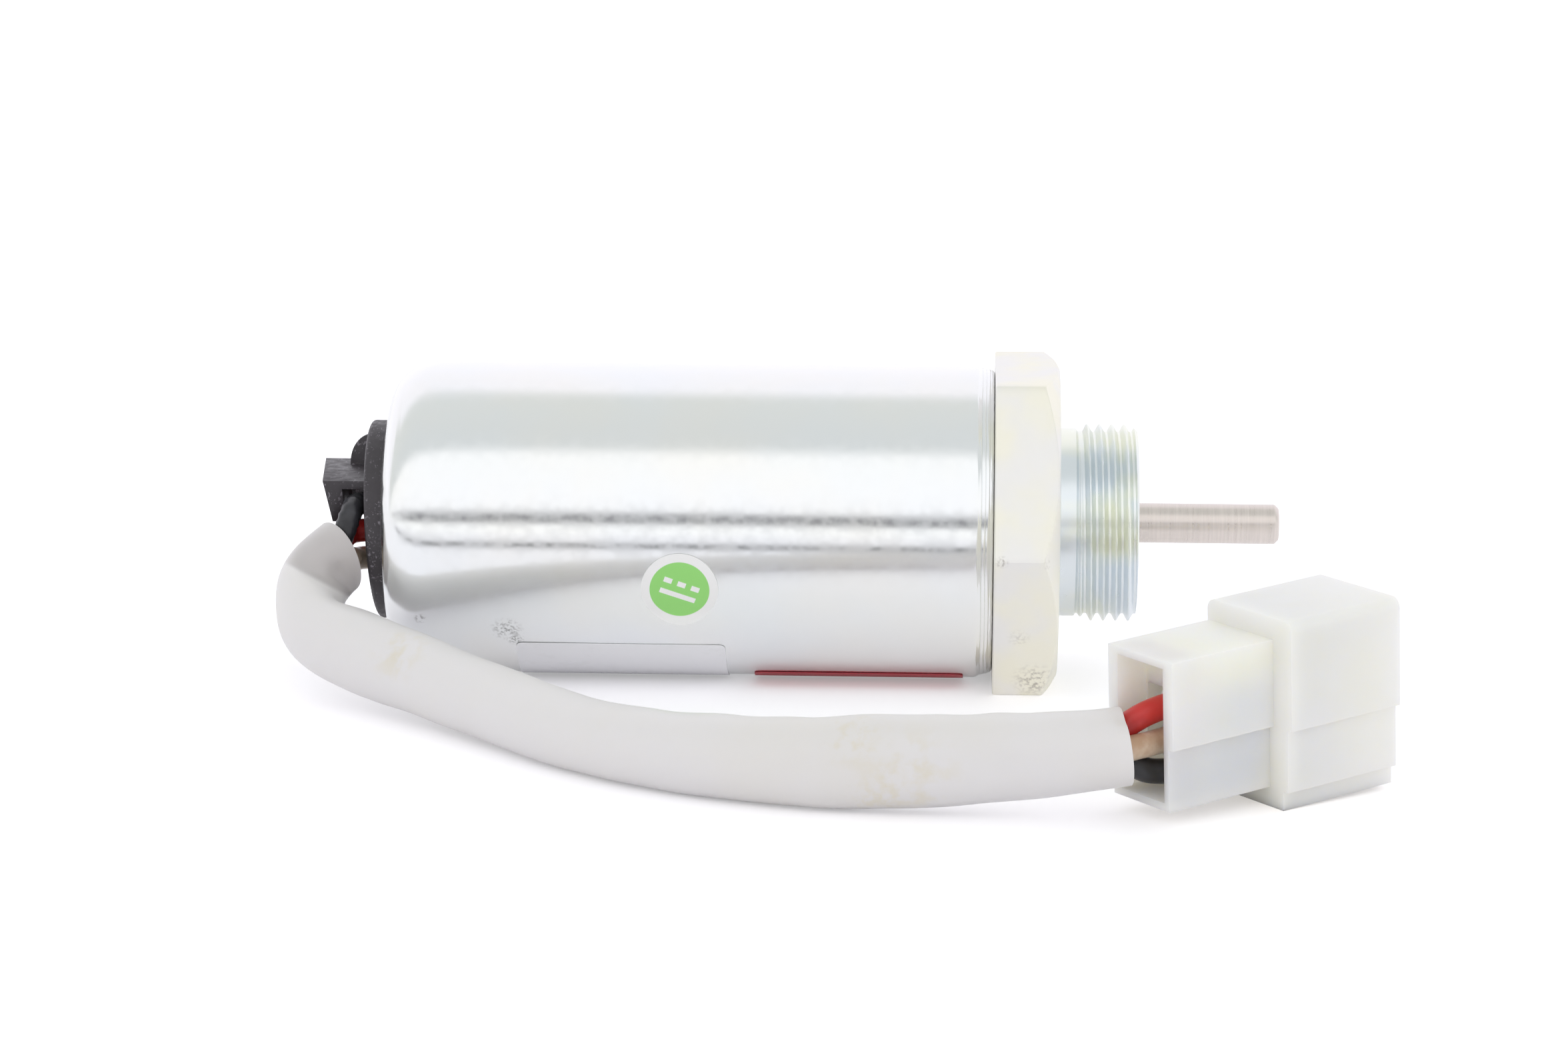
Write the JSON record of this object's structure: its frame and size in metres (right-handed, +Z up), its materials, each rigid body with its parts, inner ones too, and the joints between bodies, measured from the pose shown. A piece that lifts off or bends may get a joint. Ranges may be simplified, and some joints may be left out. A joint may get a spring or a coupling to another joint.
{
  "type": "fuel shutoff solenoid",
  "caption": "Plunger solenoid in a zinc-plated round can with a hexagon, a threaded boss, a steel push pin, a black rear cap, and sleeved leads that end in a cream plug housing.",
  "frame": {"origin": "on the surface it lies on, under the solenoid's axis, midway between the outer face of the lead hood and the tip of the push pin; the leads and the connector are left out of the measure", "axes": "+X along the solenoid's axis towards the push pin, -Y towards the side on which the leads and connector lie, +Z up"},
  "size_m": [0.1315, 0.0889, 0.038],
  "materials": {
    "zinc_can": "bright zinc plate, drawn",
    "zinc_turned": "zinc plate over turned steel, worn",
    "pole_iron": "soft iron, machined",
    "spring_steel": "spring steel",
    "pin_steel": "turned, handled",
    "copper_winding": "enamelled winding wire",
    "bearing_bronze": "sintered bronze",
    "guide_brass": "drawn tube",
    "terminal_tin": "tinned brass",
    "spool_nylon": "natural nylon",
    "board_laminate": "pressed board",
    "wrap_tape": "winding tape",
    "stop_rubber": "matt rubber",
    "cap_black": "scuffed black moulding",
    "connector_cream": "natural nylon, aged cream",
    "sleeve_clear": "soft translucent grey",
    "insulation_black": "soft satin",
    "insulation_red": "soft satin",
    "insulation_white": "soft satin",
    "sticker_green": "printed round sticker",
    "label_white": "blank gloss label",
    "label_red": "blank red label"
  },
  "bodies": {
    "housing": {"can": "zinc_can", "hex_body": "zinc_turned", "spring_washer": "spring_steel", "rear_pole": "pole_iron", "terminal_board": "board_laminate", "spool": "spool_nylon", "pull_coil": "copper_winding", "hold_coil": "copper_winding", "coil_wrap": "wrap_tape", "guide_tube": "guide_brass", "pin_bush": "bearing_bronze", "stop_bumper": "stop_rubber", "return_spring": "spring_steel", "end_cap": "cap_black", "lead_bushing": "stop_rubber", "round_sticker": "sticker_green", "rating_label": "label_white", "red_label": "label_red", "connector_housing": "connector_cream", "terminal_black": "terminal_tin", "terminal_white": "terminal_tin", "terminal_red": "terminal_tin", "wire_black": "insulation_black", "wire_white": "insulation_white", "wire_red": "insulation_red", "wire_sleeve": "sleeve_clear"},
    "plunger": {"plunger": "pole_iron", "push_pin": "pin_steel", "pin_ring": "spring_steel"}
  },
  "joints": [
    {"name": "plunger_slide", "type": "slide", "parent": "housing", "child": "plunger", "axis": [-1, 0, 0], "range_m": [0, 0.01], "stiffness_N_per_m": 400, "springref_m": -0.02, "deforming": ["return_spring"]}
  ]
}
